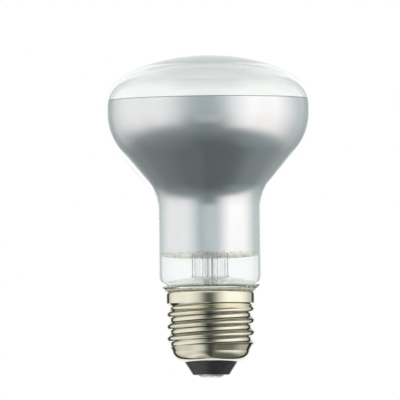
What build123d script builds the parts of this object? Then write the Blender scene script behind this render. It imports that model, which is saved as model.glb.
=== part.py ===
from build123d import *
from math import acos, atan, cos, degrees, radians, sin, tan
import os

os.makedirs("parts", exist_ok=True)

# Reflector lamp, upright on its screw cap. Millimetres, +Z along the axis,
# z = 0 at the lowest point of the centre contact.

# Glass envelope, blown in one piece
overall_height = 96.85
bulb_diameter = 62.0
face_ratio = 1.032
face_turn = 17.3
shoulder_ratio = 0.4
shoulder_turn = 21.2
band_height = 2.05
bowl_radius = 19.6
bowl_slope = 41.0
throat_radius = 11.0
neck_diameter = 31.2
heel_top = 30.5
heel_radius = 4.5
mouth_diameter = 24.0
mouth_fillet = 1.0
mouth_end = 22.5
glass_wall = 1.0
face_wall = 2.0
lens_turn = 17.0

# Mirror coating on the inside of bowl and neck
coat_thickness = 0.1
mirror_drop = 13.45
mirror_rise = 6.3
mirror_slant = 2.2

# Glass stem
stem_diameter = 10.9
stem_wall = 0.8
flare_rise = 0.4
flare_radius = 1.0
flare_spread = 80.0
flare_inset = 1.2
press_base = 43.0
press_taper = 5.0
press_height = 5.0
press_width = 12.0
press_thickness = 3.8
post_diameter = 3.2
post_stand = 1.2
exhaust_diameter = 4.6
exhaust_bore = 3.0
exhaust_tip = 17.5
exhaust_tip_wall = 1.5

# Wires, seen from the photo's side almost one behind the other
wire_diameter = 0.6
lead_angle = -79.0
lead_spread = 7.2
lead_tail = 0.5
wire_bend = 0.9
weld_gap = 0.02
bar_overhang = 0.8
crown_overhang = 0.6
crown_embed = 0.8

# Light-emitting filament sticks, two leaning pairs
stick_diameter = 1.7
stick_length = 24.0
stick_lean = 11.0
stick_foot_offset = 7.5
stick_foot_height = 57.0
stick_spacing = 8.0
stick_round = 0.4
tab_width = 1.2
tab_thickness = 0.25
tab_length = 3.0

# Screw cap shell, rolled from sheet
thread_pitch = 25.4 / 7
thread_diameter = 26.4
thread_depth = 1.05
thread_turns = 5
thread_start = 6.13
root_land = 0.05
ridge_sink = 0.2
shell_sheet = 0.35
skirt_diameter = 26.7
skirt_bottom = 22.3
skirt_slope_depth = 1.8
cap_top = 25.9
rim_round = 0.9
rim_opening = 24.9
taper_height = 7.9
taper_diameter = 23.4
taper_slope = 28.2
lip_height = 4.75
lip_diameter = 16.6
lip_bulge = 0.75

# Insulator and centre contact
insulator_bottom = 0.87
insulator_bottom_diameter = 10.9
insulator_top = 8.5
well_diameter = 2.9
well_bottom = 3.5
contact_diameter = 8.0
contact_flat_diameter = 5.0
contact_shank_diameter = 2.4
contact_shank_top = 3.0
contact_skin = 0.6

# Basing cement
cement_bottom = 23.0
bead_diameter = 26.9
bead_gap = 0.1
bead_lift = 0.3
bead_drop = 3.6

# Driver in the cap
board_diameter = 20.0
board_thickness = 1.0
board_bottom = 12.0
hole_clearance = 0.05
part_offset = 6.2
rectifier_length = 4.7
rectifier_width = 3.9
rectifier_height = 2.4
chip_length = 4.9
chip_width = 3.9
chip_height = 1.5
chip_offset = 5.0
capacitor_diameter = 6.3
capacitor_height = 7.0
capacitor_round = 0.5
choke_diameter = 6.0
choke_waist = 5.2
choke_height = 4.5
choke_flange = 0.7
fuse_diameter = 2.4
fuse_length = 5.4
fuse_bottom = 4.3
fuse_round = 0.5
shell_wire_offset = 8.5
shell_wire_turn = 2.5

# Values that follow from the sizes above
bulb_r = bulb_diameter / 2
neck_r = neck_diameter / 2
mouth_r = mouth_diameter / 2
stem_r = stem_diameter / 2
wire_r = wire_diameter / 2
crest_r = thread_diameter / 2
root_r = crest_r - thread_depth
skirt_r = skirt_diameter / 2
taper_r = taper_diameter / 2
lip_r = lip_diameter / 2
lead_offset = lead_spread / 2
half_pitch = thread_pitch / 2
face_radius = bulb_diameter * face_ratio
shoulder_radius = bulb_diameter * shoulder_ratio
brow_turn = 90 - face_turn - shoulder_turn
lens_r = (face_radius - glass_wall) * sin(radians(lens_turn))
lens_sag = face_radius - face_wall - (face_radius - glass_wall) * cos(radians(lens_turn))
lens_radius = (lens_r**2 + lens_sag**2) / (2 * lens_sag)
face_run = (face_radius - shoulder_radius) * sin(radians(face_turn))
shoulder_run = face_run + shoulder_radius * cos(radians(brow_turn))
brow_radius = (bulb_r - shoulder_run) / (1 - cos(radians(brow_turn)))
cone_run = bulb_r - neck_r - (bowl_radius + throat_radius) * (1 - cos(radians(bowl_slope)))
cone_length = cone_run / sin(radians(bowl_slope))
heel_turn = degrees(acos(1 - (neck_r - mouth_r) / (heel_radius + mouth_fillet)))
mirror_top = overall_height - mirror_drop
mirror_bottom = heel_top + mirror_rise
flare_top = heel_top + flare_rise
flare_rim = neck_r - flare_inset
press_top = press_base + press_taper + press_height
board_top = board_bottom + board_thickness

# The wires and the sticks lie on a plane through the axis; its x is the wires' side, its y is up.
lead_x = cos(radians(lead_angle))
lead_y = sin(radians(lead_angle))
lead_plane = Plane(origin=(0, 0, 0), x_dir=(lead_x, lead_y, 0), z_dir=(lead_y, -lead_x, 0))


def envelope_section(inset):
    """Half section of the envelope as a filled form, set in from the outside of the glass.

    The front is thicker in the middle, so a flatter arc cuts the inner forms there.
    """
    with BuildSketch(Plane.XZ) as section:
        with BuildLine():
            face = JernArc((0, overall_height), (1, 0), face_radius, -face_turn)
            shoulder = JernArc(face @ 1, face % 1, shoulder_radius, -shoulder_turn)
            brow = JernArc(shoulder @ 1, shoulder % 1, brow_radius, -brow_turn)
            band = Line(brow @ 1, brow @ 1 - (0, band_height))
            bowl = JernArc(band @ 1, band % 1, bowl_radius, -bowl_slope)
            cone = Line(bowl @ 1, bowl @ 1 + (bowl % 1) * cone_length)
            throat = JernArc(cone @ 1, cone % 1, throat_radius, bowl_slope)
            neck = Line(throat @ 1, (neck_r, heel_top))
            heel = JernArc(neck @ 1, neck % 1, heel_radius, -heel_turn)
            mouth_turn = JernArc(heel @ 1, heel % 1, mouth_fillet, heel_turn)
            mouth = Line(mouth_turn @ 1, (mouth_r, mouth_end - inset))
            Line(mouth @ 1, (0, mouth_end - inset))
            mirror(about=Plane.YZ)
        make_face()
        if inset:
            offset(amount=-inset, kind=Kind.INTERSECTION)
            with Locations((0, overall_height - face_wall - lens_radius)):
                Circle(lens_radius, mode=Mode.INTERSECT)
        split(bisect_by=Plane.YZ, keep=Keep.TOP)
    return section.sketch


def threaded_form(inset):
    """The cap shell's outside as a filled form, or with an inset the hollow inside its sheet."""
    flank = 2 * atan(thread_depth / half_pitch)
    roll_r = half_pitch / (2 * sin(flank))
    core_r = root_r + root_land - inset
    foot = acos((roll_r + inset - root_land) / (roll_r + inset))
    middle = (foot + flank) / 2
    foot_z = half_pitch - (roll_r + inset) * sin(foot)
    middle_x = root_r + roll_r - (roll_r + inset) * cos(middle)
    middle_z = half_pitch - (roll_r + inset) * sin(middle)
    flank_x = crest_r - roll_r + (roll_r - inset) * cos(flank)
    flank_z = (roll_r - inset) * sin(flank)

    # One turn of the rolled ridge: two root arcs and a crest arc, sunk a little into the core
    with BuildPart() as ridge:
        with BuildLine() as turn_path:
            Helix(thread_pitch, thread_pitch, crest_r, center=(0, 0, thread_start))
        with BuildSketch(Plane.XZ):
            with BuildLine():
                low = ThreePointArc(
                    (core_r, thread_start - foot_z),
                    (middle_x, thread_start - middle_z),
                    (flank_x, thread_start - flank_z),
                )
                crest = ThreePointArc(
                    low @ 1, (crest_r - inset, thread_start), (flank_x, thread_start + flank_z)
                )
                high = ThreePointArc(
                    crest @ 1, (middle_x, thread_start + middle_z), (core_r, thread_start + foot_z)
                )
                Polyline(
                    high @ 1,
                    (core_r - ridge_sink, thread_start + foot_z),
                    (core_r - ridge_sink, thread_start - foot_z),
                    low @ 0,
                )
            make_face()
        sweep(path=turn_path.wire(), is_frenet=True)

    with BuildPart() as form:
        with BuildSketch(Plane.XY.offset(lip_height)):
            Circle(core_r)
        extrude(amount=cap_top - rim_round - lip_height)
        for turn in range(thread_turns):
            with Locations((0, 0, turn * thread_pitch)):
                add(ridge.part)

        # Taper under the last turn and the rounded end that turns in to the lip
        taper_rise = (crest_r + 1 - taper_r) / tan(radians(taper_slope))
        with BuildSketch(Plane.XZ):
            with BuildLine():
                side = Line((crest_r + 1 - inset, cap_top), (crest_r + 1 - inset, taper_height + taper_rise))
                taper = Line(side @ 1, (taper_r - inset, taper_height))
                lip_end = SagittaArc(taper @ 1, (lip_r - inset / 2, lip_height + inset), lip_bulge)
                Polyline(lip_end @ 1, (0, lip_height + inset), (0, cap_top), side @ 0)
            make_face()
        revolve(axis=Axis.Z, mode=Mode.INTERSECT)

        # Plain skirt with its rounded rim, sloping in to the thread
        with BuildSketch(Plane.XZ):
            with BuildLine():
                rim = Line((0, cap_top - inset), (skirt_r - rim_round, cap_top - inset))
                curl = JernArc(rim @ 1, (1, 0), rim_round - inset, -90)
                skirt = Line(curl @ 1, (skirt_r - inset, skirt_bottom))
                slope = Line(
                    skirt @ 1, (skirt_r - inset - skirt_slope_depth, skirt_bottom - skirt_slope_depth)
                )
                Polyline(slope @ 1, (0, skirt_bottom - skirt_slope_depth), rim @ 0)
            make_face()
        revolve(axis=Axis.Z)
    return form.part


envelope_outside = envelope_section(0)
envelope_inside = envelope_section(glass_wall)
mirror_inside = envelope_section(glass_wall + coat_thickness)
shell_outside = threaded_form(0)
shell_inside = threaded_form(shell_sheet)

# Glass envelope: dome, bowl, neck and the heel that turns in to the mouth
with BuildPart() as glass_bulb:
    revolve(envelope_outside, axis=Axis.Z)
    revolve(envelope_inside, axis=Axis.Z, mode=Mode.SUBTRACT)
glass_bulb.part.label = "glass_bulb"
export_step(glass_bulb.part, "parts/glass_bulb.step")

# Mirror coating: a film on the inside of the glass, from a level edge to one a little aslant
with BuildPart() as mirror_coating:
    revolve(envelope_inside, axis=Axis.Z)
    revolve(mirror_inside, axis=Axis.Z, mode=Mode.SUBTRACT)
    with BuildSketch(Plane.XY.offset(mirror_top)):
        Circle(bulb_r)
    extrude(amount=-mirror_top, mode=Mode.INTERSECT)
    with BuildSketch(Plane.XY.offset(mirror_bottom).rotated((-mirror_slant, 0, 0))):
        Circle(bulb_diameter)
    extrude(amount=overall_height, mode=Mode.INTERSECT)
mirror_coating.part.label = "mirror_coating"
export_step(mirror_coating.part, "parts/mirror_coating.step")

# Filament stick: a coated rod with rounded ends, on a plane square to its lean
lean_x = sin(radians(stick_lean))
lean_y = cos(radians(stick_lean))
stick_foot = lead_plane.from_local_coords((stick_foot_offset, stick_foot_height, stick_spacing / 2))
stick_way = Vector(-lean_x * lead_x, -lean_x * lead_y, lean_y)
stick_plane = Plane(origin=stick_foot, x_dir=lead_plane.z_dir, z_dir=stick_way)
with BuildPart() as led_filament_1:
    with BuildSketch(stick_plane):
        Circle(stick_diameter / 2)
    extrude(amount=stick_length)
    fillet(led_filament_1.edges().filter_by(GeomType.CIRCLE), stick_round)
led_filament_1.part.label = "led_filament_1"
export_step(led_filament_1.part, "parts/led_filament_1.step")

with BuildPart() as led_filament_2:
    mirror(led_filament_1.part, about=lead_plane)
led_filament_2.part.label = "led_filament_2"
export_step(led_filament_2.part, "parts/led_filament_2.step")

with BuildPart() as led_filament_3:
    add(led_filament_1.part, rotation=(0, 0, 180))
led_filament_3.part.label = "led_filament_3"
export_step(led_filament_3.part, "parts/led_filament_3.step")

with BuildPart() as led_filament_4:
    add(led_filament_2.part, rotation=(0, 0, 180))
led_filament_4.part.label = "led_filament_4"
export_step(led_filament_4.part, "parts/led_filament_4.step")

# End tabs: flat strips in line with each stick, two to a stick
with BuildPart() as first_tabs:
    with BuildSketch(stick_plane):
        Rectangle(tab_width, tab_thickness)
    extrude(amount=-tab_length)
    with BuildSketch(stick_plane.offset(stick_length)):
        Rectangle(tab_width, tab_thickness)
    extrude(amount=tab_length)
with BuildPart() as filament_tabs:
    add(first_tabs.part)
    add(first_tabs.part, rotation=(0, 0, 180))
    mirror(filament_tabs.part, about=lead_plane)
filament_tabs.part.label = "filament_tabs"
export_step(filament_tabs.part, "parts/filament_tabs.step")

# Front lead: up through the stem and press, then out to a cross bar behind two lower tabs
bar_reach = tab_thickness / 2 + wire_r + weld_gap
bar_offset = stick_foot_offset + lean_x * tab_length / 2 - lean_y * bar_reach
bar_height = stick_foot_height - lean_y * tab_length / 2 - lean_x * bar_reach
with BuildPart() as front_lead:
    with BuildLine(lead_plane) as lead_path:
        FilletPolyline(
            (lead_offset, board_bottom - lead_tail),
            (lead_offset, press_top),
            (bar_offset, bar_height),
            radius=wire_bend,
        )
    with BuildSketch(Plane(lead_plane.from_local_coords((lead_offset, board_bottom - lead_tail, 0)))):
        Circle(wire_r)
    sweep(path=lead_path.wire())
    with BuildSketch(lead_plane):
        with Locations((bar_offset, bar_height)):
            Circle(wire_r)
    extrude(amount=stick_spacing / 2 + bar_overhang, both=True)
front_lead.part.label = "front_lead"
export_step(front_lead.part, "parts/front_lead.step")

with BuildPart() as back_lead:
    add(front_lead.part, rotation=(0, 0, 180))
back_lead.part.label = "back_lead"
export_step(back_lead.part, "parts/back_lead.step")

# Crown wires: each joins two upper tabs and is held by a stub in the glass post
crown_side = stick_spacing / 2 - tab_width / 2 - wire_r - weld_gap
crown_offset = stick_foot_offset - lean_x * (stick_length + tab_length / 2)
crown_height = stick_foot_height + lean_y * (stick_length + tab_length / 2)
post_top = crown_height + post_stand
with BuildPart() as crown_wire_1:
    crown_middle = lead_plane.from_local_coords((0, crown_height, crown_side))
    with BuildSketch(Plane(origin=crown_middle, z_dir=lead_plane.x_dir)):
        Circle(wire_r)
    extrude(amount=crown_offset + crown_overhang, both=True)
    with BuildSketch(lead_plane.offset(crown_side)):
        with Locations((0, crown_height)):
            Circle(wire_r)
    extrude(amount=post_diameter / 2 - crown_embed - crown_side)
crown_wire_1.part.label = "crown_wire_1"
export_step(crown_wire_1.part, "parts/crown_wire_1.step")

with BuildPart() as crown_wire_2:
    add(crown_wire_1.part, rotation=(0, 0, 180))
crown_wire_2.part.label = "crown_wire_2"
export_step(crown_wire_2.part, "parts/crown_wire_2.step")

# Glass stem: flared skirt sealed to the heel, tube, flattened press, post and exhaust tube
with BuildPart() as glass_stem:
    with BuildSketch(Plane.XZ):
        with BuildLine():
            outside = Line((stem_r, press_base), (stem_r, flare_top))
            flare = JernArc(outside @ 1, (0, -1), flare_radius, flare_spread)
            flare_run = (flare_rim - (flare @ 1).X) / sin(radians(flare_spread))
            skirt_face = Line(flare @ 1, flare @ 1 + (flare % 1) * flare_run)
            rim_edge = Line(
                skirt_face @ 1,
                skirt_face @ 1
                - Vector(cos(radians(flare_spread)), sin(radians(flare_spread))) * stem_wall,
            )
            under_face = Line(rim_edge @ 1, rim_edge @ 1 - (flare % 1) * flare_run)
            under_flare = JernArc(
                under_face @ 1, under_face % 1, flare_radius + stem_wall, -flare_spread
            )
            Polyline(under_flare @ 1, (stem_r - stem_wall, press_base), outside @ 0)
        make_face()
    revolve(axis=Axis.Z)
    revolve(envelope_inside, axis=Axis.Z, mode=Mode.INTERSECT)
    with BuildSketch(Plane.XY.offset(press_base)):
        Circle(stem_r)
    with BuildSketch(Plane.XY.offset(press_base + press_taper)):
        Ellipse(press_width / 2, press_thickness / 2, rotation=lead_angle)
    loft()
    with BuildSketch(Plane.XY.offset(press_base + press_taper)):
        Ellipse(press_width / 2, press_thickness / 2, rotation=lead_angle)
    extrude(amount=press_height)
    with BuildSketch(Plane.XY.offset(press_base + press_taper)):
        Circle(post_diameter / 2)
    extrude(amount=post_top - press_base - press_taper)
    fillet(glass_stem.edges().group_by(Axis.Z)[-1], post_diameter * 0.4)
    with BuildSketch(Plane.XY.offset(exhaust_tip)):
        Circle(exhaust_diameter / 2)
    extrude(amount=press_base - exhaust_tip)
    fillet(glass_stem.edges().group_by(Axis.Z)[0], exhaust_diameter * 0.4)
    with BuildSketch(Plane.XY.offset(exhaust_tip + exhaust_tip_wall)):
        Circle(exhaust_bore / 2)
    extrude(amount=press_base - exhaust_tip - exhaust_tip_wall, mode=Mode.SUBTRACT)
    add(front_lead.part, mode=Mode.SUBTRACT)
    add(back_lead.part, mode=Mode.SUBTRACT)
    add(crown_wire_1.part, mode=Mode.SUBTRACT)
    add(crown_wire_2.part, mode=Mode.SUBTRACT)
glass_stem.part.label = "glass_stem"
export_step(glass_stem.part, "parts/glass_stem.step")

# Screw shell: rolled sheet, threaded on both faces, open at the rim and the lip
with BuildPart() as screw_shell:
    add(shell_outside)
    add(shell_inside, mode=Mode.SUBTRACT)
    with BuildSketch(Plane.XY.offset(cap_top)):
        Circle(rim_opening / 2)
    extrude(amount=-2 * shell_sheet, mode=Mode.SUBTRACT)
    with BuildSketch(Plane.XY.offset(lip_height)):
        Circle(lip_r - shell_sheet)
    extrude(amount=2 * shell_sheet, mode=Mode.SUBTRACT)
screw_shell.part.label = "screw_shell"
export_step(screw_shell.part, "parts/screw_shell.step")

# Insulator: cone below the lip, plug filling the shell's rounded end, well for the fuse
with BuildPart() as insulator:
    add(shell_inside)
    split(bisect_by=Plane.XY.offset(insulator_top), keep=Keep.BOTTOM)
    with BuildSketch(Plane.XZ):
        with BuildLine():
            Polyline(
                (0, insulator_bottom),
                (insulator_bottom_diameter / 2, insulator_bottom),
                (lip_r - shell_sheet, lip_height),
                (lip_r - shell_sheet, lip_height + 2 * shell_sheet),
                (0, lip_height + 2 * shell_sheet),
                close=True,
            )
        make_face()
    revolve(axis=Axis.Z)
    with BuildSketch(Plane.XY.offset(insulator_bottom)):
        Circle(contact_shank_diameter / 2)
    extrude(amount=well_bottom - insulator_bottom, mode=Mode.SUBTRACT)
    with BuildSketch(Plane.XY.offset(well_bottom)):
        Circle(well_diameter / 2)
    extrude(amount=insulator_top - well_bottom, mode=Mode.SUBTRACT)
insulator.part.label = "insulator"
export_step(insulator.part, "parts/insulator.step")

# Centre contact: a low button with a shank in the insulator and a blind hole for the fuse lead
with BuildPart() as centre_contact:
    with BuildSketch(Plane.XZ):
        with BuildLine():
            ThreePointArc(
                (contact_flat_diameter / 2, 0),
                (contact_flat_diameter / 4 + contact_diameter / 4 + 0.1, insulator_bottom / 2 - 0.12),
                (contact_diameter / 2, insulator_bottom),
            )
            Polyline(
                (contact_diameter / 2, insulator_bottom),
                (contact_shank_diameter / 2, insulator_bottom),
                (contact_shank_diameter / 2, contact_shank_top),
                (0, contact_shank_top),
                (0, 0),
                (contact_flat_diameter / 2, 0),
            )
        make_face()
    revolve(axis=Axis.Z)
    with BuildSketch(Plane.XY.offset(contact_skin)):
        Circle(wire_r)
    extrude(amount=contact_shank_top - contact_skin, mode=Mode.SUBTRACT)
centre_contact.part.label = "centre_contact"
export_step(centre_contact.part, "parts/centre_contact.step")

# Basing cement: fills the ring between the shell's skirt and the glass mouth, and stands out above the rim
with BuildPart() as basing_cement:
    add(shell_inside)
    with BuildSketch(Plane.XY.offset(cap_top)):
        Circle(rim_opening / 2)
    extrude(amount=-2 * shell_sheet)
    split(bisect_by=Plane.XY.offset(cement_bottom), keep=Keep.TOP)

    # Bead pressed out between the rim and the heel, clear of the rim at its edge
    with BuildSketch(Plane.XZ):
        with BuildLine():
            Polyline(
                (mouth_r, cap_top),
                (rim_opening / 2, cap_top),
                (rim_opening / 2, cap_top + bead_gap),
                (bead_diameter / 2, cap_top + bead_lift),
                (bead_diameter / 2, heel_top - bead_drop),
                (mouth_r, heel_top - bead_drop),
                close=True,
            )
        make_face()
    revolve(axis=Axis.Z)
    revolve(envelope_outside, axis=Axis.Z, mode=Mode.SUBTRACT)
basing_cement.part.label = "basing_cement"
export_step(basing_cement.part, "parts/basing_cement.step")

# Fuse resistor: body in the insulator's well, one lead to the contact and one to the board
with BuildPart() as fuse_resistor:
    with BuildSketch(Plane.XY.offset(fuse_bottom)):
        Circle(fuse_diameter / 2)
    extrude(amount=fuse_length)
    fillet(fuse_resistor.edges().filter_by(GeomType.CIRCLE), fuse_round)
    with BuildSketch(Plane.XY.offset(contact_skin)):
        Circle(wire_r)
    extrude(amount=board_top + lead_tail - contact_skin)
fuse_resistor.part.label = "fuse_resistor"
export_step(fuse_resistor.part, "parts/fuse_resistor.step")

# Shell wire: from the board's edge out to a root of the thread inside the shell
shell_wire_height = thread_start + thread_pitch * (lead_angle / 360 + shell_wire_turn)
shell_wire_end = root_r - shell_sheet - weld_gap
with BuildPart() as shell_wire:
    with BuildLine(lead_plane) as shell_wire_path:
        FilletPolyline(
            (shell_wire_offset, board_bottom - lead_tail),
            (shell_wire_offset, shell_wire_height),
            (shell_wire_end, shell_wire_height),
            radius=wire_bend,
        )
    with BuildSketch(Plane(lead_plane.from_local_coords((shell_wire_offset, board_bottom - lead_tail, 0)))):
        Circle(wire_r)
    sweep(path=shell_wire_path.wire())
shell_wire.part.label = "shell_wire"
export_step(shell_wire.part, "parts/shell_wire.step")

# Driver board: a disc with holes for two leads, the fuse lead and the shell wire
wire_hole_r = wire_r + hole_clearance
with BuildPart() as driver_board:
    with BuildSketch(Plane.XY.offset(board_bottom).rotated((0, 0, lead_angle))):
        Circle(board_diameter / 2)
        with Locations((lead_offset, 0), (-lead_offset, 0), (0, 0), (shell_wire_offset, 0)):
            Circle(wire_hole_r, mode=Mode.SUBTRACT)
    extrude(amount=board_thickness)
driver_board.part.label = "driver_board"
export_step(driver_board.part, "parts/driver_board.step")

board_under = Plane.XY.offset(board_bottom).rotated((0, 0, lead_angle))
board_face = Plane.XY.offset(board_top).rotated((0, 0, lead_angle))

with BuildPart() as bridge_rectifier:
    with BuildSketch(board_under):
        with Locations((0, chip_offset)):
            Rectangle(rectifier_length, rectifier_width)
    extrude(amount=-rectifier_height)
bridge_rectifier.part.label = "bridge_rectifier"
export_step(bridge_rectifier.part, "parts/bridge_rectifier.step")

with BuildPart() as driver_chip:
    with BuildSketch(board_under):
        with Locations((0, -chip_offset)):
            Rectangle(chip_length, chip_width)
    extrude(amount=-chip_height)
driver_chip.part.label = "driver_chip"
export_step(driver_chip.part, "parts/driver_chip.step")

with BuildPart() as smoothing_capacitor:
    with BuildSketch(board_face):
        with Locations((0, part_offset)):
            Circle(capacitor_diameter / 2)
    extrude(amount=capacitor_height)
    fillet(smoothing_capacitor.edges().group_by(Axis.Z)[-1], capacitor_round)
smoothing_capacitor.part.label = "smoothing_capacitor"
export_step(smoothing_capacitor.part, "parts/smoothing_capacitor.step")

# Choke coil: winding between two flanges
with BuildPart() as choke_coil:
    with BuildSketch(board_face):
        with Locations((0, -part_offset)):
            Circle(choke_diameter / 2)
    extrude(amount=choke_flange)
    with BuildSketch(board_face.offset(choke_height - choke_flange)):
        with Locations((0, -part_offset)):
            Circle(choke_diameter / 2)
    extrude(amount=choke_flange)
    with BuildSketch(board_face):
        with Locations((0, -part_offset)):
            Circle(choke_waist / 2)
    extrude(amount=choke_height)
choke_coil.part.label = "choke_coil"
export_step(choke_coil.part, "parts/choke_coil.step")
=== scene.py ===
import bpy
import math
from mathutils import Matrix, Vector


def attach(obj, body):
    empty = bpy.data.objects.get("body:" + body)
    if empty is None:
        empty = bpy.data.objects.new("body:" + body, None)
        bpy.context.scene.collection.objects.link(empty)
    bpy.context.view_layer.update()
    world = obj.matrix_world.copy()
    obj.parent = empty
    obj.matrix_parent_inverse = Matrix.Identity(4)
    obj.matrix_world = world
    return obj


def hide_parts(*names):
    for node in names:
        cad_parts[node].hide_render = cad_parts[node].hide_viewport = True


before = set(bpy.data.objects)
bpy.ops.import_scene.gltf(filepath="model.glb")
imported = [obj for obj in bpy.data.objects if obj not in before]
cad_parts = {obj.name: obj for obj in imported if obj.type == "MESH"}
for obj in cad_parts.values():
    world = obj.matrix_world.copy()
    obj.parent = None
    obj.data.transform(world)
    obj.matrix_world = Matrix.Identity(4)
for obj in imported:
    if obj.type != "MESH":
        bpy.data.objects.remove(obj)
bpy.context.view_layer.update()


# Glass envelope: a domed front, bowl, neck and turned-in heel, blown in one piece of clear soda glass.
# It is a figure of revolution, so its outline is laid out once and turned about the axis.
# The front is thicker in the middle, with a flatter inside, as it comes out of the mould.
glass_wall = 1.0


def arc_points(centre, radius, start, end, count):
    """Points along an arc in the outline's plane, angles in degrees from the level direction."""
    steps = [math.radians(start + (end - start) * k / count) for k in range(count + 1)]
    return [(centre[0] + radius * math.cos(a), centre[1] + radius * math.sin(a)) for a in steps]


def envelope_outline(inset):
    """The envelope's half outline in millimetres from the crown to the mouth, set in from the outside."""
    overall_height, bulb_r, neck_r, mouth_r = 96.85, 31.0, 15.6, 12.0
    face_r, shoulder_r, bowl_r, throat_r, heel_r, mouth_fillet = 63.984, 24.8, 19.6, 11.0, 4.5, 1.0
    face_turn, brow_turn, bowl_slope, lens_turn, face_wall = 17.3, 51.5, 41.0, 17.0, 2.0
    band_height, heel_top, mouth_end = 2.05, 30.5, 22.5
    face_c = (0, overall_height - face_r)
    lean = math.radians(90 - face_turn)
    shoulder_c = (
        face_c[0] + (face_r - shoulder_r) * math.cos(lean),
        face_c[1] + (face_r - shoulder_r) * math.sin(lean),
    )
    lean = math.radians(brow_turn)
    brow_r = (bulb_r - shoulder_c[0] - shoulder_r * math.cos(lean)) / (1 - math.cos(lean))
    brow_c = (bulb_r - brow_r, shoulder_c[1] + (shoulder_r - brow_r) * math.sin(lean))
    bowl_c = (bulb_r - bowl_r, brow_c[1] - band_height)
    slope = math.radians(bowl_slope)
    cone_run = bulb_r - neck_r - (bowl_r + throat_r) * (1 - math.cos(slope))
    cone_drop = cone_run / math.tan(slope)
    throat_c = (neck_r + throat_r, bowl_c[1] - (bowl_r + throat_r) * math.sin(slope) - cone_drop)
    heel_c = (neck_r - heel_r, heel_top)
    heel_turn = math.acos(1 - (neck_r - mouth_r) / (heel_r + mouth_fillet))
    fold_c = (mouth_r + mouth_fillet, heel_top - (heel_r + mouth_fillet) * math.sin(heel_turn))
    heel_turn = math.degrees(heel_turn)
    if inset:
        lens_r = (face_r - glass_wall) * math.sin(math.radians(lens_turn))
        lens_sag = face_r - face_wall - (face_r - glass_wall) * math.cos(math.radians(lens_turn))
        lens_radius = (lens_r**2 + lens_sag**2) / (2 * lens_sag)
        lens_c = (0, overall_height - face_wall - lens_radius)
        lens_half = math.degrees(math.asin(lens_r / lens_radius))
        outline = arc_points(lens_c, lens_radius, 90, 90 - lens_half, count=40)
        outline += arc_points(face_c, face_r - inset, 90 - lens_turn, 90 - face_turn, count=1)[1:]
    else:
        outline = arc_points(face_c, face_r, 90, 90 - face_turn, count=20)
    outline += arc_points(shoulder_c, shoulder_r - inset, 90 - face_turn, brow_turn, count=16)[1:]
    outline += arc_points(brow_c, brow_r - inset, brow_turn, 0, count=24)[1:]
    outline += arc_points(bowl_c, bowl_r - inset, 0, -bowl_slope, count=20)
    outline += arc_points(throat_c, throat_r + inset, 180 - bowl_slope, 180, count=20)
    outline += arc_points(heel_c, heel_r - inset, 0, -heel_turn, count=18)
    outline += arc_points(fold_c, mouth_fillet + inset, 180 - heel_turn, 180, count=10)[1:]
    outline.append((mouth_r - inset, mouth_end))
    return outline


class NodeBench:
    """A tree of nodes that is being put together, with short ways to add to it."""

    def __init__(self, tree):
        self.tree = tree

    def feed(self, socket, source):
        """An input linked to another node's socket, or set to a plain value."""
        if isinstance(source, bpy.types.NodeSocket):
            self.tree.links.new(source, socket)
        else:
            socket.default_value = source

    def add(self, kind, sources=(), **settings):
        """A node with its settings, and its inputs fed from sockets or values."""
        node = self.tree.nodes.new(kind)
        for name, value in settings.items():
            setattr(node, name, value)
        for name, source in dict(sources).items():
            self.feed(node.inputs[name], source)
        return node

    def maths(self, operation, *sources):
        """One maths step on sockets or numbers."""
        return self.add("ShaderNodeMath", enumerate(sources), operation=operation).outputs["Value"]

    def product(self, first, *others):
        """Sockets or numbers multiplied in turn."""
        for other in others:
            first = self.maths("MULTIPLY", first, other)
        return first

    def ramp(self, source, start, end, low=0.0, high=1.0, change="LINEAR"):
        """A level that goes from low to high while the source goes from start to end."""
        limits = {"Value": source, "From Min": start, "From Max": end, "To Min": low, "To Max": high}
        return self.add("ShaderNodeMapRange", limits, interpolation_type=change).outputs["Result"]

    def soft_step(self, source, start, end, low, high):
        """A ramp that eases in and out."""
        return self.ramp(source, start, end, low, high, change="SMOOTHSTEP")

    def mix(self, share, first, second, blend="MIX"):
        """Two colours mixed by a share."""
        pair = [(*colour, 1) if isinstance(colour, tuple) else colour for colour in (first, second)]
        sources = {"Factor": share, "A": pair[0], "B": pair[1]}
        return self.add("ShaderNodeMix", sources, data_type="RGBA", blend_type=blend).outputs["Result"]

    def vector(self, operation, *sources):
        """One step of vector maths; gives both of its outputs."""
        return self.add("ShaderNodeVectorMath", enumerate(sources), operation=operation).outputs

    def place(self):
        """The X, Y and Z of a point on the piece, in metres."""
        spot = self.add("ShaderNodeTexCoord").outputs["Object"]
        return self.add("ShaderNodeSeparateXYZ", {"Vector": spot}).outputs


def form_bench(name, inputs):
    """A new tree of geometry nodes with named inputs: its bench, their sockets and their identifiers."""
    tree = bpy.data.node_groups.new(name, "GeometryNodeTree")
    ids = {}
    for label, kind in inputs.items():
        socket = tree.interface.new_socket(label, in_out="INPUT", socket_type="NodeSocket" + kind)
        ids[label] = socket.identifier
    tree.interface.new_socket("Form", in_out="OUTPUT", socket_type="NodeSocketGeometry")
    bench = NodeBench(tree)
    return bench, bench.add("NodeGroupInput").outputs, ids


def close_form(bench, form, finish):
    """The end of a tree of geometry nodes: all made real, the finish set and the form put out."""
    real = bench.add("GeometryNodeRealizeInstances", {"Geometry": form}).outputs["Geometry"]
    dressed = bench.add("GeometryNodeSetMaterial", {"Geometry": real, "Material": finish})
    bench.add("NodeGroupOutput", {"Form": dressed.outputs["Geometry"]})


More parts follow.
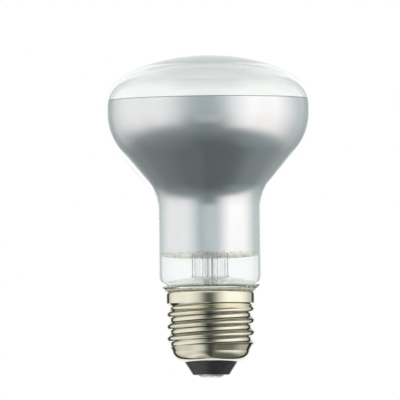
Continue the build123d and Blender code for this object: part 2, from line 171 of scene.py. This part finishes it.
def turned_tree():
    """Geometry nodes that turn an outline, drawn as points in the XZ plane, about the Z axis."""
    inputs = {"Outline": "Geometry", "Segments": "Int", "Finish": "Material"}
    bench, given, ids = form_bench("turned_form", inputs)
    nudge, weld = 0.0005, 1e-6
    size = bench.add("GeometryNodeAttributeDomainSize", {"Geometry": given["Outline"]})
    drawn_count = size.outputs["Point Count"]
    around = bench.maths("ADD", given["Segments"], 1)
    grid = bench.add("GeometryNodeMeshGrid", {"Vertices X": drawn_count, "Vertices Y": around})
    index = bench.add("GeometryNodeInputIndex").outputs["Index"]
    row = bench.maths("FLOOR", bench.maths("ADD", bench.maths("DIVIDE", index, around), nudge))
    share = bench.maths("DIVIDE", bench.maths("MODULO", index, around), given["Segments"])
    angle = bench.product(share, math.tau)
    where = bench.add("GeometryNodeInputPosition").outputs["Position"]
    picked = {"Geometry": given["Outline"], "Value": where, "Index": row}
    drawn = bench.add("GeometryNodeSampleIndex", picked, data_type="FLOAT_VECTOR").outputs["Value"]
    turned = bench.add("ShaderNodeVectorRotate", {"Vector": drawn, "Angle": angle}, rotation_type="Z_AXIS")
    placed_points = {"Geometry": grid.outputs["Mesh"], "Position": turned.outputs["Vector"]}
    put = bench.add("GeometryNodeSetPosition", placed_points).outputs["Geometry"]
    closed = bench.add("GeometryNodeMergeByDistance", {"Geometry": put, "Distance": weld})
    smooth = bench.add("GeometryNodeSetShadeSmooth", {"Geometry": closed.outputs["Geometry"]})
    close_form(bench, smooth.outputs["Geometry"], given["Finish"])
    return bench.tree, ids


def stand(name, data):
    """A new object in the scene, at the origin."""
    thing = bpy.data.objects.new(name, data)
    bpy.context.scene.collection.objects.link(thing)
    return thing


def formed_piece(name, mesh, tree, values):
    """A piece worked out by geometry nodes, then made a plain mesh that rides on the lamp."""
    piece = stand(name, mesh)
    forming = piece.modifiers.new(tree.name, "NODES")
    forming.node_group = tree
    for identifier, value in values.items():
        forming[identifier] = value
    shown = piece.evaluated_get(bpy.context.evaluated_depsgraph_get())
    plain = bpy.data.meshes.new_from_object(shown)
    piece.modifiers.clear()
    piece.data = plain
    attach(piece, "root")
    return piece


turned_form, turning = turned_tree()


def turn_piece(name, outline, finish, segments=192):
    """A piece turned from an outline in millimetres, which is closed where it doesn't start on the axis."""
    starts_on_axis = outline[0][0] < 1e-6
    ring = outline if starts_on_axis else outline + outline[:1]
    drawn = bpy.data.meshes.new(name + "_outline")
    drawn.from_pydata([(r / 1000, 0, z / 1000) for r, z in ring], [], [])
    values = {turning["Segments"]: segments, turning["Finish"]: finish.material}
    return formed_piece(name, drawn, turned_form, values)


def cloud_group():
    """Shader group: two close shades mixed by a soft cloud, and the cloud itself for gloss and relief."""
    group = bpy.data.node_groups.new("shade_cloud", "ShaderNodeTree")
    for label, kind in (("Pale", "Color"), ("Deep", "Color"), ("Scale", "Float"), ("Stretch", "Vector")):
        group.interface.new_socket(label, in_out="INPUT", socket_type="NodeSocket" + kind)
    group.interface.new_socket("Shade", in_out="OUTPUT", socket_type="NodeSocketColor")
    group.interface.new_socket("Cloud", in_out="OUTPUT", socket_type="NodeSocketFloat")
    bench = NodeBench(group)
    given = bench.add("NodeGroupInput").outputs
    spot = bench.add("ShaderNodeTexCoord").outputs["Object"]
    drawn = bench.vector("MULTIPLY", spot, given["Stretch"])["Vector"]
    noise = bench.add("ShaderNodeTexNoise", {"Vector": drawn, "Scale": given["Scale"], "Detail": 3})
    thin, thick = 0.3, 0.7
    cloud = bench.ramp(noise.outputs["Fac"], thin, thick)
    bench.add("NodeGroupOutput", {"Shade": bench.mix(cloud, given["Pale"], given["Deep"]), "Cloud": cloud})
    return group


shade_cloud = cloud_group()


class Finish(NodeBench):
    """A material in two close shades; gloss and relief, where given, follow the same cloud."""

    def __init__(self, name, pale, deep, scale, rough=None, relief=0, stretch=(1, 1, 1), metallic=0):
        self.material = bpy.data.materials.new(name)
        self.material.use_nodes = True
        super().__init__(self.material.node_tree)
        self.shader = self.tree.nodes["Principled BSDF"]
        cloud = self.cloud(pale, deep, scale, stretch)
        self.set_shader({"Base Color": cloud["Shade"], "Metallic": metallic})
        if rough:
            self.set_shader({"Roughness": self.ramp(cloud["Cloud"], 0, 1, *rough)})
        if relief:
            bump = self.add("ShaderNodeBump", {"Distance": relief, "Height": cloud["Cloud"]})
            self.set_shader({"Normal": bump.outputs["Normal"]})

    def set_shader(self, sources):
        """The shader's own inputs fed from sockets or values."""
        for name, source in sources.items():
            self.feed(self.shader.inputs[name], source)

    def cloud(self, pale, deep, scale, stretch):
        """The shared cloud of shades, placed with its own values."""
        values = {"Pale": (*pale, 1), "Deep": (*deep, 1), "Scale": scale, "Stretch": stretch}
        return self.add("ShaderNodeGroup", values, node_tree=shade_cloud).outputs

    def overlay(self, share, colour, blend="MIX"):
        """A further colour over the finish's own, where the share is high."""
        own = self.shader.inputs["Base Color"].links[0].from_socket
        self.set_shader({"Base Color": self.mix(share, own, colour, blend)})

    def glow(self, share, colour, strength):
        """A light of the finish's own, where the share is high."""
        self.set_shader({"Emission Color": self.mix(share, (0, 0, 0), colour), "Emission Strength": strength})


polished_glass = {"Transmission Weight": 1, "IOR": 1.5, "Roughness": 0}
clear_glass = Finish("clear_envelope_glass", (0.99, 0.998, 0.994), (0.98, 0.994, 0.986), scale=60)
clear_glass.set_shader(polished_glass)
height = clear_glass.place()["Z"]

# The glass looks smoky towards its thick crown, and a little so in the clear part of the neck.
smoke, neck_smoke = (0.842, 0.856, 0.851), 0.16
smoke_start, smoke_full, mirrored_neck, clear_neck = 0.0845, 0.0935, 0.0372, 0.0362
towards_crown = clear_glass.ramp(height, smoke_start, smoke_full)
below_film = clear_glass.ramp(height, mirrored_neck, clear_neck, high=neck_smoke)
clear_glass.overlay(clear_glass.maths("MAXIMUM", towards_crown, below_film), smoke, "MULTIPLY")

# Light that goes round inside the wall would end in the dark after a few turns, most of all in the heel,
# so a ray that was turned back inside the first wall finds a weak light there.
# Bounces are counted in whole numbers, so the limit before each one lies half way.
first_bounce, second_bounce, third_bounce = 0.5, 1.5, 2.5
wall_light, heel_light, edge_tone = 0.1, 0.6, (0.9, 1.0, 0.92)
heel_start, heel_full = 0.0287, 0.0278
path = clear_glass.add("ShaderNodeLightPath").outputs
turned_back = clear_glass.maths("GREATER_THAN", path["Glossy Depth"], first_bounce)
in_first_wall = clear_glass.maths("LESS_THAN", path["Transmission Depth"], second_bounce)
edge_light = clear_glass.ramp(height, heel_start, heel_full, wall_light, heel_light)
clear_glass.glow(clear_glass.product(turned_back, in_first_wall, edge_light), edge_tone, strength=1)

envelope = turn_piece("envelope", envelope_outline(0) + envelope_outline(glass_wall)[::-1], clear_glass)
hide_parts("glass_bulb")


# Mirror coating: a film of aluminium evaporated on the inside of bowl and neck, seen through the glass.
# It ends in a level edge under the domed front, and in one a little aslant part way down the neck.
film_top, slant_top, film_bottom, film_gap, film_thickness = 83.4, 46.0, 36.6, 0.02, 0.08


def film_outline(inset):
    """The part of the outline between the film's two edges, set in from the outside of the glass."""
    neck_rings, edge_ring = 12, 0.05
    whole = envelope_outline(inset)
    kept = []
    for (r0, z0), (r1, z1) in zip(whole, whole[1:]):
        for edge in (film_top, film_bottom):
            if z1 < edge <= z0:
                t = (z0 - edge) / (z0 - z1)
                kept.append((r0 + (r1 - r0) * t, edge))
        if film_bottom < z1 < film_top:
            kept.append((r1, z1))
    neck_r = kept[-1][0]
    drop = slant_top - film_bottom
    kept[-1:] = [(neck_r, slant_top - drop * k / neck_rings) for k in range(neck_rings)]
    return kept + [(neck_r, film_bottom + edge_ring), (neck_r, film_bottom)]


aluminium_film = Finish(
    "aluminium_mirror_film",
    (0.92, 0.925, 0.925),
    (0.88, 0.885, 0.885),
    scale=130,
    rough=(0.2, 0.24),
    stretch=(1, 1, 0.25),
    metallic=1,
)
height = aluminium_film.place()["Z"]

# The film thins out in streaks at its lower edge, whose darker shades are also a painted reflection of the
# stem's lines, and its upper edge is a fine dark line.
streak_start, streak_full, top_line_start, top_line_full = 0.0378, 0.0368, 0.08312, 0.08322
top_line_tone = (0.36, 0.33, 0.29)
streaks_and_painted_reflection = aluminium_film.cloud((0.88, 0.88, 0.85), (0.5, 0.48, 0.4), scale=900, stretch=(1, 1, 0.08))
aluminium_film.overlay(aluminium_film.ramp(height, streak_start, streak_full), streaks_and_painted_reflection["Shade"])
aluminium_film.overlay(aluminium_film.ramp(height, top_line_start, top_line_full), top_line_tone)

# Light deep inside the mirror, or seen past the stem, would end after a few bounces, so the film holds some.
inner_tone, inner_light = (1.0, 0.99, 0.92), 0.6
stem_start, stem_full, stem_share = 2.5, 6.5, 0.6
path = aluminium_film.add("ShaderNodeLightPath").outputs
deep_inside = aluminium_film.maths("GREATER_THAN", path["Glossy Depth"], third_bounce)
past_stem = aluminium_film.ramp(path["Transparent Depth"], stem_start, stem_full, high=stem_share)
aluminium_film.glow(aluminium_film.maths("MAXIMUM", deep_inside, past_stem), inner_tone, inner_light)

film_outside = glass_wall + film_gap
film_inside = film_outside + film_thickness
film = turn_piece("mirror", film_outline(film_outside) + film_outline(film_inside)[::-1], aluminium_film)
film_slant = math.tan(math.radians(1.4))
slant_height = (slant_top - film_bottom) / 1000
for point in film.data.vertices:
    low = min(max((slant_top / 1000 - point.co.z) / slant_height, 0), 1)
    eased = low * low * (3 - 2 * low)
    point.co.z -= eased * point.co.y * film_slant
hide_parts("mirror_coating")


# Glass stem: flared skirt, tube, flattened press, post and exhaust tube of clear lead glass.
# The flare is melted to the heel, and the press holds the two leads.
def finish_with(finish, slot_name, *node_names):
    """A finish given to some of the lamp's own solids, in place of their materials; the slot name is not
    used.
    """
    for node_name in node_names:
        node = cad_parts[node_name]
        node.data.materials.clear()
        node.data.materials.append(finish.material)


stem_glass = Finish("clear_stem_glass", (0.985, 0.995, 0.99), (0.97, 0.985, 0.975), scale=90)
stem_glass.set_shader(polished_glass)
height = stem_glass.place()["Z"]

# Painted shade: seen straight on, the tubes get fine dark lines painted at their edges, and the flare a faint
# painted grey.
painted_edge_shade, painted_flare_shade = (0.06, 0.06, 0.055), (0.78, 0.79, 0.8)
clear_body, line_body, flare_body = 0.14, 0.95, 0.45
edge_start, edge_full = 0.58, 0.76
lines_end, lines_full, flare_start, flare_full = 0.029, 0.0305, 0.0302, 0.0294
facing = stem_glass.add("ShaderNodeLayerWeight", {"Blend": 0.5}).outputs["Facing"]
glossy_depth = stem_glass.add("ShaderNodeLightPath").outputs["Glossy Depth"]
tube_edge = stem_glass.ramp(facing, edge_start, edge_full)
above_flare = stem_glass.ramp(height, lines_end, lines_full)
in_flare = stem_glass.ramp(height, flare_start, flare_full)
seen_directly = stem_glass.maths("LESS_THAN", glossy_depth, first_bounce)
fine_line = stem_glass.product(tube_edge, above_flare, seen_directly)
stem_glass.overlay(fine_line, painted_edge_shade)
stem_glass.overlay(in_flare, painted_flare_shade)
tube_alpha = stem_glass.ramp(fine_line, 0, 1, clear_body, line_body)
flare_alpha = stem_glass.product(in_flare, flare_body)
stem_glass.set_shader({"Alpha": stem_glass.maths("MAXIMUM", tube_alpha, flare_alpha)})
finish_with(stem_glass, "stem_glass", "glass_stem")


# Leads, crown wires and shell wire: drawn nickel wire, a little dulled by the sealing flame.
# The leads run from the board through the press, and each ends in a cross bar for two sticks.
drawn_wire = Finish(
    "drawn_nickel_wire",
    (0.82, 0.81, 0.78),
    (0.66, 0.65, 0.62),
    scale=900,
    rough=(0.25, 0.4),
    stretch=(1, 1, 0.1),
    metallic=1,
)
finish_with(
    drawn_wire, "wire_metal", "front_lead", "back_lead", "crown_wire_1", "crown_wire_2", "shell_wire"
)


# Filament sticks: glass strips with rows of small light chips under a thick coat of yellow phosphor paste.
# They stand in two leaning pairs and are held by their end tabs alone.
phosphor = Finish(
    "phosphor_coat", (0.86, 0.66, 0.12), (0.72, 0.5, 0.05), scale=1400, rough=(0.45, 0.65), relief=0.00004
)
finish_with(phosphor, "phosphor_yellow", *["led_filament_%d" % k for k in range(1, 5)])


# End tabs: flat strips of tinned steel in line with each stick, spot welded to the wires.
# The tin is dull, with a faint rolled grain.
tinned_steel = Finish(
    "tinned_tab_steel",
    (0.74, 0.72, 0.68),
    (0.58, 0.56, 0.53),
    scale=1100,
    rough=(0.28, 0.42),
    stretch=(1, 1, 0.15),
    metallic=1,
)
finish_with(tinned_steel, "tab_metal", "filament_tabs")


# Screw shell: thin brass sheet with its thread rolled in, bright nickel plated.
# Its rim is curled in over the cement and its lower end is turned in round the insulator.
# Along the flank over each crest a dark band is painted, between two darker lines: painted reflection of a
# dark surround and painted shade where the rolled thread traps light.
cap_nickel = Finish(
    "cap_nickel_plate",
    (0.895, 0.86, 0.75),
    (0.86, 0.825, 0.695),
    scale=160,
    rough=(0.05, 0.09),
    stretch=(1, 1, 0.5),
    metallic=1,
)
thread_pitch, thread_start, painted_thread_shade = 0.0036286, 0.00613, (0.06, 0.055, 0.035)
taper_end, thread_foot, thread_head, skirt_start = 0.0093, 0.01, 0.0203, 0.0207
place = cap_nickel.place()
turned = cap_nickel.maths("DIVIDE", cap_nickel.maths("ARCTAN2", place["Y"], place["X"]), math.tau)
risen = cap_nickel.maths("DIVIDE", cap_nickel.maths("SUBTRACT", place["Z"], thread_start), thread_pitch)
over_crest = cap_nickel.maths("FRACT", cap_nickel.maths("SUBTRACT", risen, turned))


def along_thread(start, full, fade, end, depth):
    """The depth of a band of painted shade along the thread, between shares of the pitch over its crest."""
    rising = cap_nickel.soft_step(over_crest, start, full, 0, depth)
    return cap_nickel.product(rising, cap_nickel.soft_step(over_crest, fade, end, 1, 0))


# Painted shade and reflection: the flank band and the valley and crest lines darken the plate where the
# thread mirrors little light.
flank = along_thread(0.06, 0.12, 0.3, 0.38, depth=0.7)
valley_line = along_thread(0.26, 0.3, 0.36, 0.4, depth=1)
crest_line = along_thread(0.03, 0.06, 0.09, 0.12, depth=0.9)
for line in (valley_line, crest_line):
    flank = cap_nickel.maths("MAXIMUM", flank, line)
above_taper = cap_nickel.soft_step(place["Z"], taper_end, thread_foot, 0, 1)
below_skirt = cap_nickel.soft_step(place["Z"], thread_head, skirt_start, 1, 0)
cap_nickel.overlay(cap_nickel.product(flank, above_taper, below_skirt), painted_thread_shade)
finish_with(cap_nickel, "cap_metal", "screw_shell")


# Insulator: black glass cast hot into the end of the shell, so that it fills the lip and cools to a cone.
# Its skin is smooth with a faint orange-peel.
black_glass = Finish(
    "cast_black_glass",
    (0.052, 0.056, 0.064),
    (0.034, 0.037, 0.044),
    scale=500,
    rough=(0.22, 0.36),
    relief=0.00002,
)
finish_with(black_glass, "insulator_black", "insulator")


# Centre contact: a low button of tinned brass, pressed into the insulator by its shank.
# The fuse lead is soldered in it, which leaves the tin a little uneven.
contact_tin = Finish(
    "contact_tin",
    (0.94, 0.93, 0.91),
    (0.82, 0.81, 0.79),
    scale=600,
    rough=(0.3, 0.5),
    relief=0.00003,
    metallic=1,
)
finish_with(contact_tin, "contact_metal", "centre_contact")


# Basing cement: a pale paste of resin and stone dust, baked between the skirt and the mouth.
# A bead of it is pressed out under the heel, with coarse olive grains along its edge, which also stand in as
# a painted shadow line between bead and glass, and two smears of them low on the glass.
baked_cement = Finish(
    "baked_cement", (0.93, 0.92, 0.87), (0.74, 0.72, 0.63), scale=1000, rough=(0.7, 0.95), relief=0.00006
)
finish_with(baked_cement, "basing_cement", "basing_cement")


def grain_tree():
    """Geometry nodes that scatter small lumps over a band of surface."""
    inputs = {"Band": "Geometry", "Density": "Float", "Grain": "Float", "Seed": "Int", "Finish": "Material"}
    bench, given, ids = form_bench("cement_grains", inputs)
    strewn = {"Mesh": given["Band"], "Density": given["Density"], "Seed": given["Seed"]}
    spread = bench.add("GeometryNodeDistributePointsOnFaces", strewn).outputs
    lump = bench.add("GeometryNodeMeshIcoSphere", {"Radius": given["Grain"], "Subdivisions": 2})
    limits = {"Min": (0.5, 0.5, 0.4), "Max": (1.3, 1.3, 0.9), "Seed": given["Seed"]}
    size = bench.add("FunctionNodeRandomValue", limits, data_type="FLOAT_VECTOR").outputs["Value"]
    seats = {"Points": spread["Points"], "Rotation": spread["Rotation"]}
    put = bench.add(
        "GeometryNodeInstanceOnPoints", {**seats, "Instance": lump.outputs["Mesh"], "Scale": size}
    )
    close_form(bench, put.outputs["Instances"], given["Finish"])
    return bench.tree, ids


def grid_faces(rows, columns):
    """Faces of a grid of points laid row by row."""
    return [
        (row * columns + k, row * columns + k + 1, (row + 1) * columns + k + 1, (row + 1) * columns + k)
        for row in range(rows - 1)
        for k in range(columns - 1)
    ]


def round_point(turn, r, z):
    """A point in metres at a turn in degrees from the front, a radius and a height in millimetres."""
    return (r / 1000 * math.sin(math.radians(turn)), -r / 1000 * math.cos(math.radians(turn)), z / 1000)


heel_bend, heel_bend_r, heel_level = 4.5, 11.15, 30.5
smear_rows, smear_columns, smear_bottom = 5, 17, 26.5


def heel_r(z):
    """The radius of the heel's outside, with the grains' seat, at a height in millimetres."""
    return heel_bend_r + math.sqrt(heel_bend**2 - (heel_level - z) ** 2)


def smear_points(first_turn, last_turn, first_top, last_top):
    """A patch low on the outside of the heel, its upper edge rising from one end to the other."""
    points = []
    for row in range(smear_rows):
        for k in range(smear_columns):
            along = k / (smear_columns - 1)
            top = first_top + (last_top - first_top) * along
            z = smear_bottom + (top - smear_bottom) * row / (smear_rows - 1)
            points.append(round_point(first_turn + (last_turn - first_turn) * along, heel_r(z), z))
    return points


olive_grain_and_shadow = Finish(
    "olive_cement_grain", (0.44, 0.43, 0.3), (0.13, 0.125, 0.08), scale=1500, rough=(0.6, 0.9)
)
grain_size, bead_density, smear_density = 0.00014, 1.0e6, 1.1e7
bead_edge, bead_steps = [(12.7, 26.0), (13.4, 26.2), (13.45, 26.4), (13.42, 26.62)], 96
bead_points = [round_point(360 * k / bead_steps, r, z) for r, z in bead_edge for k in range(bead_steps + 1)]
bead_grid = (len(bead_edge), bead_steps + 1)
smear_grid = (smear_rows, smear_columns)
cement_grains, strewing = grain_tree()
# The grains along the bead's edge are partly grains and partly a painted shadow line where bead and glass
# meet.
for grain_name, grain_points, grain_grid, grain_density, grain_seed in (
    ("bead_grains_and_shadow", bead_points, bead_grid, bead_density, 7),
    ("left_smear", smear_points(-93, -44, 27.3, 27.0), smear_grid, smear_density, 11),
    ("right_smear", smear_points(10, 92, 26.55, 28.0), smear_grid, smear_density, 13),
):
    grain_band = bpy.data.meshes.new(grain_name)
    grain_band.from_pydata(grain_points, [], grid_faces(*grain_grid))
    grain_values = {
        strewing["Density"]: grain_density,
        strewing["Grain"]: grain_size,
        strewing["Seed"]: grain_seed,
        strewing["Finish"]: olive_grain_and_shadow.material,
    }
    grains = formed_piece(grain_name, grain_band, cement_grains, grain_values)


# Driver board and its parts: a green laminate disc that stands in the shell on its wires.
# The rectifier and chip are moulded black resin, the capacitor has a shrunk sleeve,
# the fuse a painted body, and all are soldered to the board.
moulded_resin = ((0.03, 0.03, 0.032), (0.015, 0.015, 0.017), (0.35, 0.5))
for driver_node, driver_slot, (driver_pale, driver_deep, driver_rough) in (
    ("driver_board", "board_laminate", ((0.07, 0.2, 0.09), (0.035, 0.12, 0.05), (0.3, 0.45))),
    ("bridge_rectifier", "component_black", moulded_resin),
    ("driver_chip", "component_black", moulded_resin),
    ("smoothing_capacitor", "capacitor_sleeve", ((0.035, 0.06, 0.15), (0.025, 0.04, 0.1), (0.25, 0.4))),
    ("choke_coil", "choke_ferrite", ((0.12, 0.1, 0.09), (0.07, 0.06, 0.055), (0.45, 0.7))),
    ("fuse_resistor", "fuse_body", ((0.34, 0.46, 0.38), (0.24, 0.36, 0.29), (0.35, 0.5))),
):
    driver_finish = Finish(
        driver_node + "_finish", driver_pale, driver_deep, scale=900, rough=driver_rough, relief=0.00001
    )
    finish_with(driver_finish, driver_slot, driver_node)


# Choke winding: one layer of enamelled copper wire, wound close on the ferrite's waist between its flanges.
# The wire's ends, which go down into the board beside the core, are not drawn.
def winding_tree():
    """Geometry nodes that wind a round wire into a close coil."""
    sizes = {"Turns": "Float", "Radius": "Float", "Wire": "Float", "Height": "Float"}
    bench, given, ids = form_bench("coil_winding", {**sizes, "Place": "Vector", "Finish": "Material"})
    helix = {"Rotations": given["Turns"], "Height": given["Height"], "Resolution": 40}
    ends = {"Start Radius": given["Radius"], "End Radius": given["Radius"]}
    coil = bench.add("GeometryNodeCurveSpiral", {**helix, **ends}).outputs["Curve"]
    section = {"Radius": given["Wire"], "Resolution": 10}
    round_wire = bench.add("GeometryNodeCurvePrimitiveCircle", section).outputs["Curve"]
    swept = {"Curve": coil, "Profile Curve": round_wire, "Fill Caps": True}
    tube = bench.add("GeometryNodeCurveToMesh", swept).outputs["Mesh"]
    moved = bench.add("GeometryNodeTransform", {"Geometry": tube, "Translation": given["Place"]})
    smooth = bench.add("GeometryNodeSetShadeSmooth", {"Geometry": moved.outputs["Geometry"]})
    close_form(bench, smooth.outputs["Geometry"], given["Finish"])
    return bench.tree, ids


enamelled_copper = Finish(
    "enamelled_copper", (0.62, 0.27, 0.12), (0.46, 0.18, 0.07), scale=1200, rough=(0.22, 0.35), metallic=1
)
coil_winding, wound = winding_tree()
winding_values = {
    wound["Turns"]: 9.0,
    wound["Radius"]: 0.00276,
    wound["Wire"]: 0.00015,
    wound["Height"]: 0.0027,
    wound["Place"]: (-0.00609, -0.00118, 0.0139),
    wound["Finish"]: enamelled_copper.material,
}
winding = formed_piece("choke_winding", bpy.data.meshes.new("choke_winding"), coil_winding, winding_values)


# Floor: a plain pale table a little under the lamp, which is held up by its cap.
# Only the camera sees it, and only from above. Away from the lamp it fades into the white backdrop.
def stage_finish(name):
    """A material for the stage, empty but for its output: its bench and itself."""
    material = bpy.data.materials.new(name)
    material.use_nodes = True
    material.node_tree.nodes.remove(material.node_tree.nodes["Principled BSDF"])
    return NodeBench(material.node_tree), material


def either(bench, share, first, second):
    """Two shaders mixed by a share."""
    return bench.add("ShaderNodeMixShader", {"Fac": share, 1: first, 2: second}).outputs["Shader"]


floor_height, floor_radius, floor_sides, fade_start, fade_end = -0.025, 0.3, 96, 0.03, 0.22
floor_turns = [math.tau * k / floor_sides for k in range(floor_sides)]
rim = [(floor_radius * math.cos(a), floor_radius * math.sin(a), floor_height) for a in floor_turns]
floor_mesh = bpy.data.meshes.new("table_top")
floor_mesh.from_pydata(rim, [], [list(range(floor_sides))])
table_top = stand("table_top", floor_mesh)
paint, table_paint = stage_finish("table_paint")
spot = paint.add("ShaderNodeTexCoord").outputs["Object"]
reach = paint.vector("LENGTH", paint.vector("MULTIPLY", spot, (1, 1, 0))["Vector"])["Value"]
pale = paint.add("ShaderNodeBsdfDiffuse", {"Color": (0.88, 0.88, 0.88, 1)}).outputs["BSDF"]
white = paint.add("ShaderNodeEmission").outputs["Emission"]
open_air = paint.add("ShaderNodeBsdfTransparent").outputs["BSDF"]
seen = paint.add("ShaderNodeLightPath").outputs
underside = paint.add("ShaderNodeNewGeometry").outputs["Backfacing"]
from_above = paint.product(seen["Is Camera Ray"], paint.maths("SUBTRACT", 1, underside))
to_camera = either(paint, paint.soft_step(reach, fade_start, fade_end, 0, 1), pale, white)
table_out = table_paint.node_tree.nodes["Material Output"].inputs["Surface"]
paint.feed(table_out, either(paint, from_above, open_air, to_camera))
floor_mesh.materials.append(table_paint)


# Neck card: a weak lit card close in front of the neck, which lightens the middle of its mirror.
# The camera looks straight through it, and it fades out towards its sides.
card_half, card_low, card_high, card_y, card_core, card_level = 0.045, 0.036, 0.064, -0.12, 0.01, 0.2
card_mesh = bpy.data.meshes.new("neck_card")
card_corners = (
    (-card_half, card_low),
    (card_half, card_low),
    (card_half, card_high),
    (-card_half, card_high),
)
card_mesh.from_pydata([(x, card_y, z) for x, z in card_corners], [], [(0, 1, 2, 3)])
neck_card = stand("neck_card", card_mesh)
card, card_glow = stage_finish("card_glow")
aside = card.maths("ABSOLUTE", card.place()["X"])
fading = card.soft_step(aside, card_core, card_half, card_level, 0)
glow = card.add("ShaderNodeEmission", {"Strength": fading})
open_air = card.add("ShaderNodeBsdfTransparent").outputs["BSDF"]
both = card.add("ShaderNodeAddShader", {0: glow.outputs["Emission"], 1: open_air}).outputs["Shader"]
seen = card.add("ShaderNodeLightPath").outputs
card_out = card_glow.node_tree.nodes["Material Output"].inputs["Surface"]
card.feed(card_out, either(card, seen["Is Glossy Ray"], open_air, both))
card_mesh.materials.append(card_glow)


# Studio light: broad soft boxes left and right, a white backdrop straight behind and a pale ceiling.
# Bare metal alone meets the black flags, one at each side of the backdrop and a dim one at the camera.
# What is seen straight through the glass is mostly the white of the backdrop.
studio = bpy.data.worlds.new("studio")
bpy.context.scene.world = studio
studio.use_nodes = True
studio.node_tree.nodes.clear()
room = NodeBench(studio.node_tree)
way = room.add("ShaderNodeTexCoord").outputs["Generated"]
level_way = room.vector("NORMALIZE", room.vector("MULTIPLY", way, (1, 1, 0))["Vector"])["Vector"]
way_up = room.add("ShaderNodeSeparateXYZ", {"Vector": way}).outputs["Z"]
to_degrees = 180 / math.pi
elevation = room.product(room.maths("ARCSINE", way_up), to_degrees)


def round_studio(azimuth, core, reach, middle, outside):
    """A level that eases from the middle of a place round the studio to its outside, angles in degrees.

    The azimuth is 0 at the camera and 90 on the right.
    """
    aim = (math.sin(math.radians(azimuth)), -math.cos(math.radians(azimuth)), 0)
    off_aim = room.maths("ARCCOSINE", room.vector("DOT_PRODUCT", level_way, aim)["Value"])
    return room.soft_step(room.product(off_aim, to_degrees), core, reach, middle, outside)


def by_height(start, end, low, high):
    """A level that eases from low to high between two elevations in degrees."""
    return room.soft_step(elevation, start, end, low, high)


def blended(share, first, second):
    """Two levels mixed by a share from 0 to 1."""
    rest = room.product(first, room.maths("SUBTRACT", 1, share))
    return room.maths("ADD", rest, room.product(second, share))


seen = room.add("ShaderNodeLightPath").outputs
bare = room.maths("LESS_THAN", seen["Transmission Depth"], first_bounce)
behind_glass = room.maths("SUBTRACT", 1, bare)

# Each box has a soft lower edge, which reaches further down for bare metal.
left_foot = blended(bare, by_height(-34, -15, 0, 1), by_height(-74, -54, 0, 1))
right_foot = blended(bare, by_height(-39, -23, 0, 1), by_height(-46, -20, 0, 1))
boxes = 0
for box_azimuth, box_core, box_reach, box_level, box_foot in (
    (-86, 12, 78, 0.47, left_foot),
    (66, 14, 64, 0.65, right_foot),
    (-46, 4, 28, 0.1, left_foot),
    (124, 8, 40, 0.13, right_foot),
):
    box = room.product(round_studio(box_azimuth, box_core, box_reach, box_level, 0), box_foot)
    boxes = room.maths("ADD", boxes, box)

# The rest of the room is dim, darker low down, with a little more from under the cap's left side.
under_left = room.product(round_studio(-80, 40, 110, 0.3, 0), by_height(-60, -40, 1, 0), bare)
fill = room.maths("ADD", by_height(-66, 10, 0.12, 0.48), under_left)
flags = room.product(*[round_studio(azimuth, 6, 14, 0.1, 1) for azimuth in (-145, 145)])
flags = room.product(flags, round_studio(-3, 1, 28, 0.26, 1))
light = room.product(room.maths("ADD", boxes, fill), blended(bare, 1, flags))

# The mirror alone meets a weak low light on the right and two dim places, low left and in the middle.
low_right = room.product(round_studio(85, 10, 60, 0.1, 0), by_height(-70, -52, 0, 1))
low_right = room.product(low_right, by_height(-34, -14, 1, 0))
low_left = room.product(round_studio(-130, 14, 44, 0.22, 0), by_height(-24, -10, 1, 0))
middle = room.product(round_studio(-1, 0, 36, 0.34, 0), by_height(-14, -3, 1, 0), by_height(-42, -20, 0, 1))
light = room.maths("ADD", light, room.product(low_right, behind_glass))
for dim_place in (low_left, middle):
    light = blended(room.product(dim_place, behind_glass), light, 0)

# The backdrop is dimmer low down, and the ceiling is dark for bare metal straight above it.
ceiling_level, through_share = 0.97, 0.8
backdrop = round_studio(180, 22, 28, 1, 0)
light = blended(backdrop, light, blended(bare, by_height(-42, -22, 0.2, 1), by_height(-88, -55, 0.4, 1)))
ceiling = by_height(28, 55, 0, 1)
on_bare_metal = room.product(bare, seen["Is Glossy Ray"])
over_metal = by_height(40, 60, ceiling_level, 0.15)
light = blended(ceiling, light, blended(on_bare_metal, ceiling_level, over_metal))
unmirrored = room.maths("LESS_THAN", seen["Glossy Depth"], first_bounce)
straight_through = room.product(seen["Is Transmission Ray"], unmirrored)
light = blended(room.product(straight_through, through_share), light, 1)

# The boxes are a little warm and the dim room a little cool. Backdrop and ceiling are plain white.
warmth = room.maths("DIVIDE", boxes, room.maths("ADD", boxes, fill))
mirror_tint = room.mix(warmth, (0.87, 1.0, 1.07), (1.16, 1.0, 0.97))
metal_tint = room.mix(warmth, (0.94, 1.0, 0.92), (1.06, 1.0, 0.97))
untinted = room.maths("MAXIMUM", straight_through, room.maths("MAXIMUM", backdrop, ceiling))
tint = room.mix(untinted, room.mix(bare, mirror_tint, metal_tint), (1, 1, 1))
lit_room = room.add("ShaderNodeBackground", {"Color": tint, "Strength": light}).outputs["Background"]
white = room.add("ShaderNodeBackground", {"Color": (1, 1, 1, 1)}).outputs["Background"]
room.add("ShaderNodeOutputWorld", {"Surface": either(room, seen["Is Camera Ray"], lit_room, white)})


# Camera: a long lens four metres off, a little below the lamp and looking up at it.
# It is rolled by a small angle, as in the photo.
camera_data = bpy.data.cameras.new("camera")
camera = stand("camera", camera_data)
camera_distance, view_width = 4.0, 0.1201
camera_data.sensor_width = 36
camera_data.lens = camera_data.sensor_width * camera_distance / view_width
camera_data.clip_end = 10
look_at = Vector((-0.00276, 0, 0.0534))
rise = math.radians(-2.2)
roll = math.radians(0.7)
back = Vector((0, -math.cos(rise), math.sin(rise)))
turn = (-back).to_track_quat("-Z", "Y").to_matrix() @ Matrix.Rotation(-roll, 3, "Z")
camera.matrix_world = Matrix.Translation(look_at + back * camera_distance) @ turn.to_4x4()
bpy.context.scene.camera = camera
bpy.context.scene.view_settings.view_transform = "Standard"
